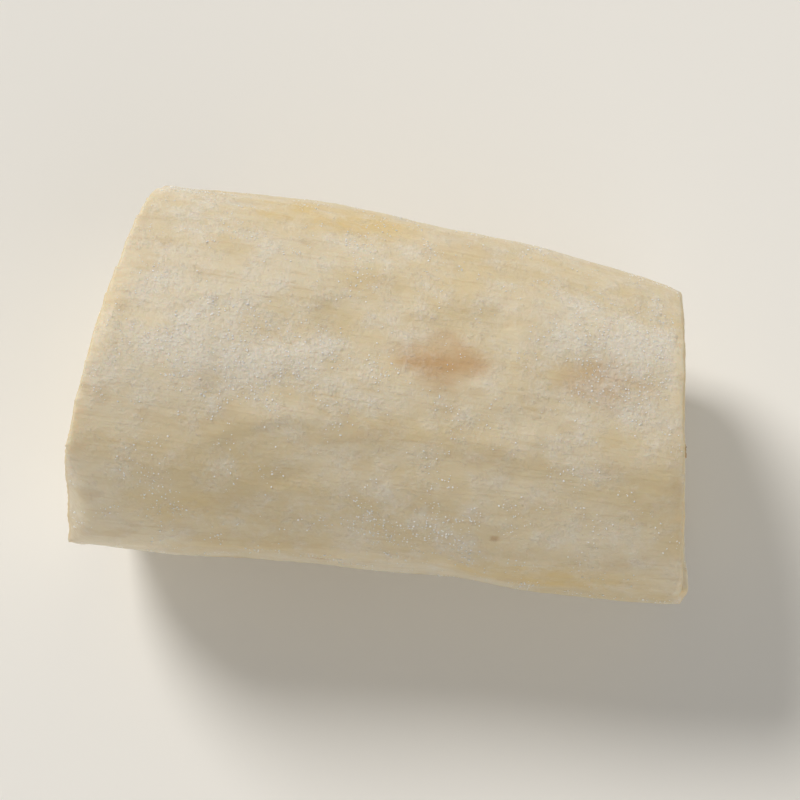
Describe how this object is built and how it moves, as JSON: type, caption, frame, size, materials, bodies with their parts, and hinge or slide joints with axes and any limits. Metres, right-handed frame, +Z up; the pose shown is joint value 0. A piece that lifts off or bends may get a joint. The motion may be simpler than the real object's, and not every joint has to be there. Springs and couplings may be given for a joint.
{
  "type": "peeled cassava root piece",
  "caption": "Cut length of peeled cassava root with soft peeling facets, cleaver-cut ends and a flat underside to rest on.",
  "frame": {"origin": "middle of the bounding box at the rest flat", "axes": "+X along the root towards its thin end, +Z up from the rest flat, +Y across"},
  "size_m": [0.093, 0.058, 0.05],
  "materials": {
    "cassava_flesh": "waxy cream starch flesh, fine lengthwise fibres, light frost"
  },
  "bodies": {
    "root": {"cassava_root": "cassava_flesh"}
  },
  "joints": []
}
